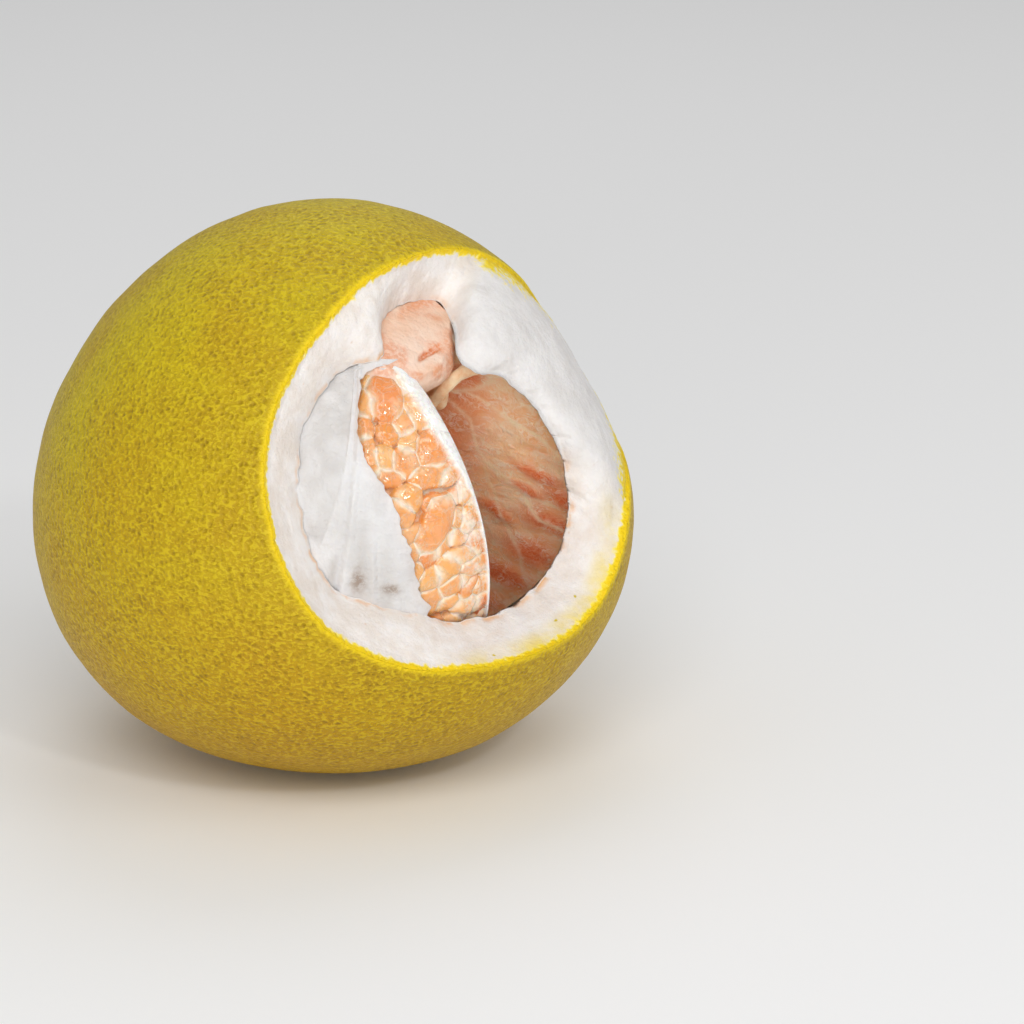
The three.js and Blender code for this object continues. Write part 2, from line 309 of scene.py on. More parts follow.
# ---- Materials ----
class Nodes:
    """A short way to write a node material."""

    def __init__(self, name):
        self.material = bpy.data.materials.new(name)
        self.material.use_nodes = True
        self.tree = self.material.node_tree
        self.shader = next(n for n in self.tree.nodes if n.type == "BSDF_PRINCIPLED")
        self.object = self.add("TexCoord").outputs["Object"]

    def add(self, kind, inputs=None, **settings):
        node = self.tree.nodes.new("ShaderNode" + kind)
        for key, value in settings.items():
            setattr(node, key, value)
        for key, value in (inputs or {}).items():
            self.put(node.inputs[key], value)
        return node

    def put(self, socket, value):
        if isinstance(value, bpy.types.NodeSocket):
            self.tree.links.new(value, socket)
        else:
            socket.default_value = value

    def set(self, **values):
        for key, value in values.items():
            self.put(self.shader.inputs[key.replace("_", " ")], value)

    def attribute(self, name, output="Fac"):
        return self.add("Attribute", attribute_name=name).outputs[output]

    def noise(self, scale, detail=3.0, rough=0.5, vector=None, distortion=0.0, out="Fac"):
        return self.add(
            "TexNoise",
            {"Vector": vector or self.object, "Scale": scale, "Detail": detail,
             "Roughness": rough, "Distortion": distortion},
        ).outputs[out]

    def voronoi(self, scale, feature="F1", vector=None):
        inputs = {"Vector": vector or self.object, "Scale": scale}
        return self.add("TexVoronoi", inputs, feature=feature).outputs["Distance"]

    def math(self, operation, a, b=0.0, c=0.0):
        return self.add("Math", {0: a, 1: b, 2: c}, operation=operation).outputs[0]

    def times(self, a, b):
        return self.math("MULTIPLY", a, b)

    def plus(self, a, b):
        return self.math("ADD", a, b)

    def ramp(self, value, low, high, to_low=0.0, to_high=1.0, interpolation="SMOOTHSTEP"):
        return self.add(
            "MapRange",
            {"Value": value, "From Min": low, "From Max": high, "To Min": to_low, "To Max": to_high},
            interpolation_type=interpolation,
        ).outputs[0]

    def ridge(self, value, level, width, high=1.0):
        """Thin lines where a value passes a level."""
        apart = self.math("ABSOLUTE", self.math("SUBTRACT", value, level))
        return self.ramp(apart, 0.0, width, high, 0.0)

    def blend(self, share, a, b):
        node = self.add("Mix", data_type="RGBA")
        for key, value in ((0, share), (6, a), (7, b)):
            self.put(node.inputs[key], value)
        return node.outputs[2]

    def bump(self, height, distance, strength):
        inputs = {"Height": height, "Distance": distance, "Strength": strength}
        return self.add("Bump", inputs).outputs[0]

    def warped(self, vector, noise, amount):
        """The vector moved about by a coloured noise."""
        centred = self.add("VectorMath", {0: noise, 1: (0.5, 0.5, 0.5)}, operation="SUBTRACT")
        scaled = self.add("VectorMath", {0: centred.outputs[0], "Scale": amount}, operation="SCALE")
        moved = self.add("VectorMath", {0: vector, 1: scaled.outputs[0]}, operation="ADD")
        return moved.outputs[0]

    def separate(self, vector):
        return self.add("SeparateXYZ", {0: vector}).outputs

    def stretch(self, scale, vector=None):
        return self.add("Mapping", {"Vector": vector or self.object, "Scale": scale}).outputs[0]


def rgb(red, green, blue):
    """A colour given as on a screen, 0 to 255, in the linear values that shaders use."""
    return tuple(
        ((v / 255 + 0.055) / 1.055) ** 2.4 if v > 10 else v / 3294.6 for v in (red, green, blue)
    ) + (1,)


def under_skin(weight, radius, scale):
    """Light that scatters below the surface."""
    return {"Subsurface_Weight": weight, "Subsurface_Radius": radius, "Subsurface_Scale": scale}


def rind_material():
    n = Nodes("rind")
    warp = n.warped(n.object, n.noise(380, 2, out="Color"), 0.0014)
    # Oil glands: soft pits about 1.5 mm apart over a leathery grain.
    glands = n.voronoi(640, vector=warp)
    pits = n.ramp(glands, 0.08, 0.52)
    grain_ = n.noise(950, 2, 0.55, vector=n.stretch((1, 1, 1.5)))
    leather = n.plus(n.times(pits, 0.6), n.times(n.ramp(grain_, 0.35, 0.62), 0.4))
    patch = n.noise(24, 4, 0.55)
    broad = n.noise(10, 2, 0.5)
    height = n.separate(n.object)[2]
    zest = n.blend(n.ramp(patch, 0.35, 0.68), rgb(196, 162, 2), rgb(204, 182, 4))
    zest = n.blend(n.ramp(broad, 0.45, 0.66, 0, 0.6), zest, rgb(184, 172, 8))
    # Lower down the zest turns more orange-brown: partly the fruit's own hue, partly painted shade towards
    # the bottom.
    zest = n.blend(n.ramp(height, 0.01, 0.11, 0.75, 0.0), zest, rgb(190, 140, 2))
    # Painted shade: the gland pits and the grain's hollows are darkened.
    dark = n.times(n.math("SUBTRACT", 1.0, leather), n.ramp(n.noise(130, 2), 0.3, 0.7, 0.3, 0.75))
    # Painted highlight: the grain's raised tops are lightened.
    light = n.times(n.ramp(leather, 0.8, 1.0), 0.35)
    zest = n.blend(light, zest, rgb(222, 200, 30))
    zest = n.blend(dark, zest, rgb(138, 106, 0))
    zest = n.blend(n.ramp(n.attribute("border"), 0.3, 1.0), zest, rgb(238, 206, 6))
    scar = n.attribute("scar")
    scarred = n.plus(scar, n.times(n.noise(600), 0.25))
    zest = n.blend(n.ramp(scarred, 0.55, 0.95), zest, rgb(120, 92, 48))
    # The cut edge of the zest is bright, and the pith starts below it at a ragged border.
    teeth = n.plus(n.times(glands, 1.5), n.times(n.noise(1300, 2, 0.7), 0.9))
    depth = n.plus(n.attribute("depth"), n.math("SUBTRACT", 1.0, teeth))
    cut = n.attribute("cut")
    edge = n.blend(n.ramp(depth, 0.5, 1.7), rgb(240, 204, 2), rgb(250, 228, 60))
    skin = n.blend(n.ramp(cut, 0.1, 0.6), zest, edge)
    fibres = n.noise(520, 5, 0.65)
    soft = n.noise(120, 4, 0.6)
    pith = n.blend(n.ramp(soft, 0.35, 0.65), rgb(238, 233, 229), rgb(228, 218, 209))
    pith = n.blend(n.ramp(fibres, 0.5, 0.75, 0, 0.3), pith, rgb(232, 216, 200))
    flecks = n.ramp(n.voronoi(150, vector=warp), 0.0, 0.09, 0.45, 0.0)
    pith = n.blend(flecks, pith, rgb(214, 176, 146))
    fibrous = n.noise(170, 4, 0.6, vector=n.stretch((1, 1, 0.4)))
    cool = n.blend(n.ramp(fibrous, 0.35, 0.7), rgb(233, 230, 228), rgb(220, 216, 213))
    pith = n.blend(n.attribute("torn"), pith, cool)
    slant = n.attribute("oblique")
    creamy = n.times(slant, n.ramp(n.noise(95, 4, 0.6), 0.38, 0.62, 0.25, 0.95))
    creamy = n.times(creamy, n.ramp(n.attribute("depth"), 1.5, 9.0, 0.9, 0.0))
    pith = n.blend(creamy, pith, rgb(238, 214, 96))
    specks = n.times(n.ramp(n.voronoi(230, vector=warp), 0.0, 0.2, 1.0, 0.0), slant)
    pith = n.blend(n.ramp(specks, 0.15, 0.7), pith, rgb(206, 184, 40))
    stained = n.times(n.attribute("stain"), n.ramp(n.noise(210, 3), 0.42, 0.6))
    pith = n.blend(stained, pith, rgb(232, 178, 124))
    whiteness = n.ramp(depth, 1.1, 2.1)
    whiteness = n.times(whiteness, cut)
    n.set(
        Base_Color=n.blend(whiteness, skin, pith),
        Roughness=n.ramp(whiteness, 0, 1, 0.5, 0.85, "LINEAR"),
        Specular_IOR_Level=0.3,
        **under_skin(0.1, (1.0, 0.75, 0.45), 0.002),
    )
    skin_height = n.plus(leather, n.times(n.noise(300, 3), 0.5))
    pith_height = n.plus(fibres, n.times(n.noise(1300, 3, 0.7), 0.4))
    skin_bump = n.bump(skin_height, 0.00045, 0.9)
    pith_bump = n.bump(pith_height, 0.0008, 0.6)
    mixer = n.add("Mix", data_type="VECTOR")
    for key, value in ((0, whiteness), (4, skin_bump), (5, pith_bump)):
        n.put(mixer.inputs[key], value)
    n.set(Normal=mixer.outputs[1])
    return n.material


def membrane_material(name, colours, shine=0.4, veins=0.25, tint=None, grey=None, vein_scale=110):
    """Segment skin: a thin wet membrane with fine veins, over what shows through it."""
    n = Nodes(name)
    cloud = n.noise(70, 4, 0.6)
    warp = n.warped(n.object, n.noise(160, 3, out="Color"), 0.006)
    lines = n.ramp(n.voronoi(vein_scale, "DISTANCE_TO_EDGE", vector=warp), 0.0, 0.07, 1.0, 0.0)
    lines = n.times(lines, n.ramp(n.noise(60, 2), 0.45, 0.7, 0.0, veins))
    colour = n.blend(n.ramp(cloud, 0.32, 0.7), colours[0], colours[1])
    colour = n.blend(lines, colour, colours[2])
    if grey:
        # grey: a panel's own grey, and painted shade along folds, where given.
        colour = n.blend(n.attribute("grey"), colour, grey)
    if tint:
        speckle = n.ramp(n.noise(900, 3, 0.7), 0.35, 0.6, 0.35, 1.0)
        colour = n.blend(n.times(n.attribute("tint"), speckle), colour, tint)
    fine = n.noise(600, 4, 0.65)
    folds = n.noise(150, 3, 0.6, vector=n.stretch((1, 1, 0.4)))
    n.set(
        Base_Color=colour,
        Roughness=n.ramp(cloud, 0.3, 0.7, shine - 0.08, shine + 0.12),
        **under_skin(0.2, (1.0, 0.7, 0.5), 0.003),
        Specular_IOR_Level=0.45,
        Normal=n.bump(n.plus(n.times(fine, 0.5), folds), 0.0013, 0.8),
    )
    return n.material


def pulp_material():
    """Bare juice sacs: glassy orange drops, with pale walls where they press together."""
    n = Nodes("juice_sacs")
    threads = n.noise(210, 4, 0.6, distortion=1.4)
    thread = n.ridge(threads, 0.5, 0.035)
    wall = n.plus(n.attribute("wall"), n.times(n.math("SUBTRACT", n.noise(500, 3), 0.5), 0.7))
    tone = n.attribute("tone")
    orange = n.blend(tone, rgb(246, 178, 98), rgb(236, 136, 58))
    orange = n.blend(n.ramp(n.noise(150, 3), 0.5, 0.75, 0.0, 0.6), orange, rgb(248, 204, 150))
    colour = n.blend(n.ramp(wall, 0.0, 0.9), rgb(246, 206, 164), orange)
    colour = n.blend(n.ramp(wall, 0.0, 0.28, 0.75, 0.0), colour, rgb(252, 238, 222))
    contour = n.ramp(n.math("SINE", n.times(wall, 6.5)), 0.55, 1.0)
    contour = n.times(contour, n.ramp(wall, 0.6, 1.9, 0.4, 0.0))
    colour = n.blend(contour, colour, rgb(252, 228, 200))
    haze = n.attribute("haze")
    colour = n.blend(n.times(thread, n.ramp(haze, 0.0, 1.0, 0.3, 0.7)), colour, rgb(253, 232, 208))
    milk = n.times(n.plus(haze, 0.14), n.ramp(n.noise(190, 4, 0.65), 0.4, 0.66))
    colour = n.blend(n.times(milk, 0.8), colour, rgb(252, 232, 214))
    colour = n.blend(n.attribute("deep"), colour, rgb(206, 98, 46))
    colour = n.blend(n.attribute("rim"), colour, rgb(252, 248, 244))
    n.set(
        Base_Color=colour,
        Roughness=n.ramp(n.noise(320, 2), 0.35, 0.7, 0.08, 0.3),
        **under_skin(0.3, (1.0, 0.5, 0.22), 0.004),
        Specular_IOR_Level=0.6,
        Coat_Weight=0.6,
        Coat_Roughness=0.06,
        Normal=n.bump(n.plus(n.noise(300, 2), n.times(thread, 0.35)), 0.0008, 0.6),
    )
    return n.material


def wall_material():
    """The wall that faces the gap: sacs in a feather pattern under a thin wet membrane."""
    n = Nodes("gap_wall")
    flow = n.attribute("flow", "Vector")  # along the sacs, across them, and 0, in millimetres
    warp = n.warped(flow, n.noise(0.12, 3, vector=flow, out="Color"), 9.0)
    haze = n.noise(1.0, 5, 0.62, vector=n.stretch((0.05, 0.2, 1.0), warp))
    line = n.noise(1.0, 3, 0.5, vector=n.stretch((0.035, 0.16, 1.0), warp))
    vein = n.ridge(line, 0.5, 0.035)
    wisp = n.noise(1.0, 4, 0.6, vector=n.stretch((0.1, 0.55, 1.0), warp))
    wisp = n.ridge(wisp, 0.52, 0.05, 0.7)
    cloud = n.noise(0.09, 3, 0.6, vector=flow)
    mottle = n.noise(1.5, 4, 0.7, vector=warp)
    colour = n.blend(n.ramp(cloud, 0.35, 0.68), rgb(254, 204, 160), rgb(252, 184, 130))
    colour = n.blend(n.ramp(haze, 0.45, 0.7, 0.0, 0.7), colour, rgb(254, 222, 192))
    sacs = n.times(n.attribute("plump"), n.ramp(mottle, 0.3, 0.6, 0.5, 1.0))
    colour = n.blend(sacs, colour, rgb(232, 108, 46))
    # tint: a darker sac, plus painted shade towards the core.
    colour = n.blend(n.attribute("tint"), colour, rgb(228, 126, 72))
    pale = n.math("MAXIMUM", n.times(vein, 0.6), n.times(wisp, 0.55))
    pale = n.times(pale, n.ramp(n.noise(0.2, 2, vector=flow), 0.4, 0.6, 0.15, 1.0))
    colour = n.blend(pale, colour, rgb(254, 234, 212))
    colour = n.blend(n.times(n.attribute("vein"), 0.85), colour, rgb(254, 228, 192))
    skin = n.blend(n.ramp(n.noise(80, 3), 0.35, 0.65), rgb(240, 216, 194), rgb(230, 182, 146))
    n.set(
        Base_Color=n.blend(n.attribute("face"), skin, colour),
        Roughness=n.ramp(haze, 0.3, 0.7, 0.35, 0.6),
        **under_skin(0.5, (1.0, 0.45, 0.25), 0.007),
        Specular_IOR_Level=0.45,
        Normal=n.bump(n.plus(haze, n.times(mottle, 0.5)), 0.0012, 0.7),
    )
    return n.material


def pith_material(name, light, dark, scale=420):
    n = Nodes(name)
    fibres = n.noise(scale, 5, 0.65)
    n.set(
        Base_Color=n.blend(n.ramp(fibres, 0.35, 0.68), light, dark),
        Roughness=0.75,
        **under_skin(0.2, (1.0, 0.7, 0.45), 0.003),
        Normal=n.bump(fibres, 0.0007, 0.6),
    )
    return n.material


# ---- The rind ----
def make_rind():
    zest = outline(ZEST_OUTLINE, RIND_COLUMNS)
    pith = outline(PITH_OUTLINE, RIND_COLUMNS)
    # The knife's line wanders a little, and the pith's inner edge is torn.
    zest_at = from_map(zest) * EDGE_RADIUS
    pith_at = from_map(pith) * FLESH_RADIUS
    zest *= 1 + (0.25 * grain(zest_at, 5, 3) + 0.12 * grain(zest_at, 1.4, 4))[:, None] / WINDOW_SPREAD
    torn = 0.8 * grain(pith_at, 4.5, 5) + 0.5 * grain(pith_at, 1.9, 6) + 0.12 * grain(pith_at, 1.0, 7)
    torn_edge = pith * torn[:, None] / length(pith)[:, None]
    width = length(zest - pith)
    turn = np.degrees(np.arctan2(zest[:, 0], zest[:, 1])) % 360
    wide = smooth(12, 24, width)
    oblique = smooth(104, 124, turn) * (1 - smooth(168, 196, turn))
    back_turn = np.radians(ZEST_OUTLINE[0][0] + 360 * np.arange(RIND_COLUMNS) / RIND_COLUMNS)

    def away(edge, share):
        edge_turn = np.arctan2(edge[:, 0], edge[:, 1])
        back = back_turn + 2 * np.pi * np.round((edge_turn - back_turn) / (2 * np.pi))
        spread = mix(length(edge), 180, share)
        return from_map(map_point(np.degrees(mix(edge_turn, back, share)), spread))

    rings = []
    stores = {key: [] for key in ("depth", "cut", "torn", "oblique", "stain", "border")}
    zeros, ones = np.zeros(RIND_COLUMNS), np.ones(RIND_COLUMNS)

    def add(points, depth, cut, tear=zeros, slant=zeros, stain=zeros, border=zeros):
        rings.append(points)
        for store, value in zip(stores.values(), (depth, cut, tear, slant, stain, border)):
            store.append(value)

    for row in range(OUTSIDE_ROWS - 1, -1, -1):
        share = (row / OUTSIDE_ROWS) ** 1.55
        toward = away(zest, share)
        spot = skin_point(toward)
        lumps = 0.55 * grain(spot, 34, 11) + 0.22 * grain(spot, 13, 12) + 0.1 * grain(spot, 5.5, 13)
        edge_distance = share * 130 * 1.3
        lip = -0.35 * np.exp(-edge_distance / 0.9)
        raised = lumps * min(1, 0.3 + edge_distance / 12) + lip
        border = np.full(RIND_COLUMNS, np.exp(-edge_distance / 1.8))
        add(spot + toward * raised[:, None], zeros - 1, zeros, border=border)
    bevel = np.minimum(mix(0.7, 3.2, oblique), width * 0.5)
    for row in range(1, CUT_ROWS + 1):
        share = (row / CUT_ROWS) ** 1.1
        place = mix(zest, pith, share) + torn_edge * share**4
        toward = from_map(place)
        skin = skin_point(toward)
        top = skin - toward * (ZEST_STEP * smooth(0, 1, share * width / bevel))[:, None]
        low = toward * mix(flesh_radius(toward, PITH_LIP), flesh_radius(toward, 0.1), share**5)
        point = mix(low, top, (1 - share) ** mix(0.8, TEAR_ROUNDING, wide)[:, None])
        rough = 0.42 * grain(point, 6.5, 21) + 0.3 * grain(point, 2.6, 22) + 0.14 * grain(point, 1.2, 23)
        calm = 0.9 + 0.6 * grain(point, 17, 24) + 0.3 * grain(point, 7, 25) + 0.14 * grain(point, 2.4, 26)
        ends = smooth(0, 0.08, share) * mix(1, 0.4, smooth(0.9, 1, share))
        point = point + toward * (mix(rough, calm, wide) * ends)[:, None]
        depth = length(skin - point)
        torn_here = wide * smooth(0.02, 0.12, share)
        stain = smooth(0.9, 0.985, share) * (1 - wide) * (0.6 + 0.6 * grain(point, 9, 27))
        add(point, depth, ones, torn_here, oblique * (1 - smooth(0.3, 0.75, share)), np.maximum(stain, 0))
    pith = pith + torn_edge
    for row in range(INSIDE_ROWS):
        toward = away(pith, (row / INSIDE_ROWS) ** 1.2)
        add(toward * flesh_radius(toward, RIND_CLEARANCE), zeros + 12, ones)
    rings = np.array(rings)
    floor = -MIDDLE[2]
    rings[..., 2] = np.maximum(rings[..., 2], floor + REST_GAP)
    stem = skin_point(-AXIS)
    gap = length(rings - stem)
    attributes = {key: np.array(values) for key, values in stores.items()}
    uncut = attributes["cut"] < 0.5
    dent = 1.6 * bell(gap / 9) * uncut
    rings += dent[..., None] * AXIS
    attributes["scar"] = bell(gap / 5.5) * uncut
    first = skin_point(-OUT)
    last = -OUT * flesh_radius(-OUT, RIND_CLEARANCE)
    return finish_piece(ring_surface("rind", first, rings, last, attributes), rind_material(), "zest", "rind")


def make_stem_scar():
    """The small woody scar that the stem left, low at the back."""
    centre = skin_point(-AXIS) + AXIS * 1.5
    out = -AXIS
    side = ACROSS
    other = np.cross(out, side)
    rings = []
    count = 48
    angle = circle(count)
    profile = (
        (0.6, 0.9), (1.5, 1.05), (2.4, 0.9), (3.1, 0.95), (3.7, 0.6), (4.0, 0.1), (3.6, -0.8),
    )
    for radius, height in profile:
        wobble = radius * (1 + 0.07 * np.cos(5 * angle) + 0.03 * np.sin(11 * angle))
        point = (
            centre + wobble[:, None] * (np.cos(angle)[:, None] * side + np.sin(angle)[:, None] * other)
            + out * height
        )
        rings.append(point + out * (0.16 * grain(point, 1.1, 31))[:, None])
    piece = ring_surface("stem_scar", centre + out * 0.7, np.array(rings), centre - out * 1.2)
    return finish_piece(piece, pith_material("stem_wood", rgb(150, 122, 78), rgb(92, 68, 36), 900), "pith")


# ---- Segments ----
def profile_reach(turn, angle, middle, limits):
    """How far a half-plane's profile reaches from its middle. turn and angle are arrays."""
    away, along = np.cos(angle), np.sin(angle)
    inward = spoke(turn) @ CORE_FOOT
    sideways = CORE_OFFSET**2 - inward**2
    start = middle[0] + inward
    a = (away / FLESH_RADIUS) ** 2 + (along / FLESH_HALF_LENGTH) ** 2
    b = start * away / FLESH_RADIUS**2 + middle[1] * along / FLESH_HALF_LENGTH**2
    c = (start**2 + sideways) / FLESH_RADIUS**2 + (middle[1] / FLESH_HALF_LENGTH) ** 2 - 1
    total = ((-b + np.sqrt(b * b - a * c)) / a) ** -PROFILE_SHARPNESS
    for side, level in limits:
        speed = side * away
        room = side * (level - middle[0])
        pull = (room / np.maximum(speed, 1e-6)) ** -float(PROFILE_SHARPNESS)
        total = total + np.where(speed > 1e-6, pull, 0)
    return total ** (-1 / PROFILE_SHARPNESS)


def wedge(start, end, sections, count, cap_rows, edge_power=ROUNDING_POWER):
    """Rings of a segment from its first wall to its last, with each wall a fan of rings."""
    edge = CORE_RADIUS + SEGMENT_CLEARANCE
    middle = ((FLESH_RADIUS + edge) / 2, 0.0)
    limits = [(-1, edge)]
    angle = circle(count)
    half = SEGMENT_CLEARANCE / 2
    steps = []
    for row in range(1, cap_rows):
        steps.append((0.0, (row / cap_rows) ** 0.8))
    steps += [(i / sections, 1.0) for i in range(sections + 1)]
    for row in range(cap_rows - 1, 0, -1):
        steps.append((1.0, (row / cap_rows) ** 0.8))
    rings = []
    data = {"turn": [], "away": [], "along": [], "wall": []}
    for share, fill in steps:
        turn = np.full(count, mix(start, end, share))
        inset = SEGMENT_ROUNDING * (2 * share - 1) ** edge_power
        reach = (profile_reach(turn, angle, middle, limits) - inset) * fill
        away = middle[0] + reach * np.cos(angle)
        along = middle[1] + reach * np.sin(angle)
        shift = half if share == 0 else -half if share == 1 else 0
        point = CORE_FOOT + away[:, None] * spoke(turn) + along[:, None] * AXIS
        point = point + shift * spoke(turn + 90)
        rings.append(point)
        wall = np.full(count, -1.0 if share == 0 else 1.0 if share == 1 else 0.0)
        for store, value in zip(data.values(), (turn, away, along, wall)):
            store.append(value)
    data = {key: np.array(values) for key, values in data.items()}
    first = CORE_FOOT + middle[0] * spoke(start) + half * spoke(start + 90)
    last = CORE_FOOT + middle[0] * spoke(end) - half * spoke(end + 90)
    return first, np.array(rings), last, data


def make_whole_segment(number, material):
    start = GAP_END + (number - 1) * SEGMENT_WIDTH
    first, rings, last, data = wedge(start, start + SEGMENT_WIDTH, 16, 110, 8)
    inward = unit(CORE_FOOT + AXIS * data["along"][..., None] * 0.6 - rings)
    sunk = 0.9 if number == WHOLE_SEGMENTS else 0.35  # the last one lies under the strip of skin
    height = sunk + 0.25 * grain(rings, 9, 40 + number) + 0.12 * grain(rings, 3, 50 + number)
    rings = rings + inward * np.maximum(height, 0.02)[..., None]
    tint = smooth(0.25, 0.75, grain(rings, 16, 60 + number)) * 0.3
    piece = ring_surface(f"segment_{number}", first, rings, last, {"tint": tint})
    return finish_piece(piece, material, "segment_skin", f"segment_{number}")


# The sacs that show through the gap's wall: place along and across the feather pattern, and half
# their length and width.
WALL_SACS = [
    (44, 37, 7, 2.4), (55, 33.5, 8, 2.6), (56, 25, 9, 3.4), (57, 14, 8, 4.2),
    (44, 30, 5, 1.6), (42, 20, 6, 1.8), (56, 3, 9, 3.8), (54, -8, 9, 3.6), (52, -19, 8, 3.4),
]


# The thickest veins on that wall: (from the core, along the axis) of each bend.
WALL_VEINS = [
    [(21, 40), (24.8, 36.3), (33.7, 31), (37.8, 21.7), (45.3, 13.6), (54, 9.5), (62, 8)],
    [(30, 39), (34.7, 37.8), (46.4, 31.4), (52, 29.8), (60, 24)],
    [(38, 20), (45.5, 6.7), (52.2, -5.4), (56, -11.4), (60, -20)],
    [(24, 41), (26, 47), (30, 49), (35, 47.5), (36.5, 44), (33.5, 40), (28, 38), (24, 41)],
    [(40, 18), (50, 12), (58, 3), (64, 1)],
]


def line_distance(x, y, line):
    """The distance of points to a bent line."""
    nearest = np.full(x.shape, 1e9)
    for (ax, ay), (bx, by) in zip(line[:-1], line[1:]):
        dx, dy = bx - ax, by - ay
        share = np.clip(((x - ax) * dx + (y - ay) * dy) / (dx * dx + dy * dy), 0, 1)
        nearest = np.minimum(nearest, np.hypot(x - ax - share * dx, y - ay - share * dy))
    return nearest


def make_wall_segment():
    """The segment whose wall faces the gap."""
    first, rings, last, data = wedge(GAP_END, GAP_END + SEGMENT_WIDTH, 14, 340, 78, 8)
    face = (data["wall"] < 0).astype(float)
    away, along = data["away"], data["along"]
    place = np.stack([away, along, np.zeros_like(away)], -1)
    tilt = math.radians(-22)
    u = away * math.cos(tilt) + along * math.sin(tilt)
    v = -away * math.sin(tilt) + along * math.cos(tilt)
    # Plump sacs show through the membrane, in a feather pattern.
    flow = np.stack([u, v, np.zeros_like(u)], -1)
    ripple = 2.2 * grain(flow, 9, 71)
    plump = np.zeros_like(u)
    for at_u, at_v, half_length, half_width in WALL_SACS:
        plump += np.exp(-(((u - at_u) / half_length) ** 2 + ((v - at_v + ripple) / half_width) ** 2) ** 1.6)
    plump = np.minimum(plump, 1)
    height = 0.5 * plump + 0.3 * grain(place, 7, 72) + 0.22 * grain(flow * [0.4, 1.4, 1], 4.0, 73)
    height = height + 0.12 * grain(place, 2, 74)
    normal = -spoke(GAP_END + 90)
    edge = smooth(0.0, 0.12, 1 - np.abs(np.linspace(-1, 1, len(rings)))[:, None])
    rings = rings + normal * (face * (height - WALL_SINK))[..., None]
    back = unit(CORE_FOOT + AXIS * along[..., None] * 0.6 - rings)
    rings = rings + back * ((1 - face) * (0.3 + 0.2 * grain(rings, 8, 75)) * edge)[..., None]
    wander_x, wander_y = 1.1 * grain(place, 6, 76), 1.1 * grain(place, 6, 77)
    veins = np.zeros_like(away)
    for index, line in enumerate(WALL_VEINS):
        gap = line_distance(away + wander_x, along + wander_y, line)
        width = 0.55 + 0.3 * grain(place, 7, 78 + index)
        veins = np.maximum(veins, bell(gap / width) * (0.65 + 0.35 * grain(place, 9, 84 + index)))
    dark_cell = np.exp(-((((away - 30.5) / 4.8) ** 2 + ((along - 43.8) / 3.7) ** 2) ** 1.5))
    # Painted shade: the wall darkens towards the core, beside the bare segment. The dark cell is a darker sac
    # of its own. Both go into tint.
    painted_shade_near_core = 0.75 * (1 - smooth(30, 44, away)) * (1 - smooth(38, 42, along))
    dark = np.clip(dark_cell + painted_shade_near_core, 0, 1) * face
    piece = ring_surface(
        "segment_1", first + normal * -0.6, rings, last,
        {"flow": flow, "face": face, "plump": plump * face, "tint": dark,
         "vein": veins * face},
    )
    return finish_piece(piece, wall_material(), "segment_skin", "segment_1")


def torn_turn(along):
    heights, turns = np.array(TORN_EDGE, float).T
    return np.interp(along, heights, turns)


SAC_BED = 3.4  # the bed of pulp lies this far below the segment's skin


def outer_point(turn, along):
    """A point on the outside of the flesh at a turn and a height along the axis."""
    radius = FLESH_RADIUS * np.sqrt(np.maximum(1 - (along / FLESH_HALF_LENGTH) ** 2, 0))
    inward = spoke(turn) @ CORE_FOOT
    away = -inward + np.sqrt(np.maximum(inward**2 - CORE_OFFSET**2 + radius**2, 0))
    return CORE_FOOT + away[..., None] * spoke(turn) + np.asarray(along)[..., None] * AXIS


def outer_normal(point):
    along = (point @ AXIS)[..., None]
    return unit((point - along * AXIS) / FLESH_RADIUS**2 + along * AXIS / FLESH_HALF_LENGTH**2)


def make_open_segment(material):
    """The bare segment: a bed of pulp with a rim of membrane, under its juice sacs."""
    first, rings, last, data = wedge(*OPEN_SEGMENT, 90, 320, 10, 10)
    turn, along, away = data["turn"], data["along"], data["away"]
    outside = (data["wall"] == 0) * smooth(14, 24, away)
    bare = outside * smooth(-1, 1, turn - torn_turn(along)) * (1 - smooth(288.2, 289.4, turn))
    ragged = 0.25 * grain(rings, 2.2, 81)
    sink = bare * (SAC_BED + 0.5 * grain(rings, 5, 82)) + outside * (1 - bare) * (0.8 + ragged)
    rings = rings - outer_normal(rings) * sink[..., None]
    piece = ring_surface("segment_open", first, rings, last, {"tint": bare * 0.9})
    return finish_piece(piece, material, "flesh", "segment_open")


def lay_sacs(width, length):
    """Places for juice sacs in a strip: (across, along, radius, lean, tone, rise, stretch) of each."""
    rng = np.random.default_rng(11)
    sacs = []
    for _ in range(6000):
        across, along = rng.uniform(-width, width), rng.uniform(*length)
        radius = rng.uniform(2.5, 4.2) * (0.82 if across > 8 else 1)
        if all(math.hypot(across - s[0], along - s[1]) > 0.78 * (radius + s[2]) for s in sacs):
            lean = rng.uniform(-0.6, 0.6) + (1.2 if along > 48 else 0.4)
            tone, rise, stretch = rng.uniform(0, 1), rng.uniform(-0.3, 0.3), rng.uniform(1.1, 1.8)
            sacs.append((across, along, radius, lean, tone, rise, stretch))
    return np.array(sacs)


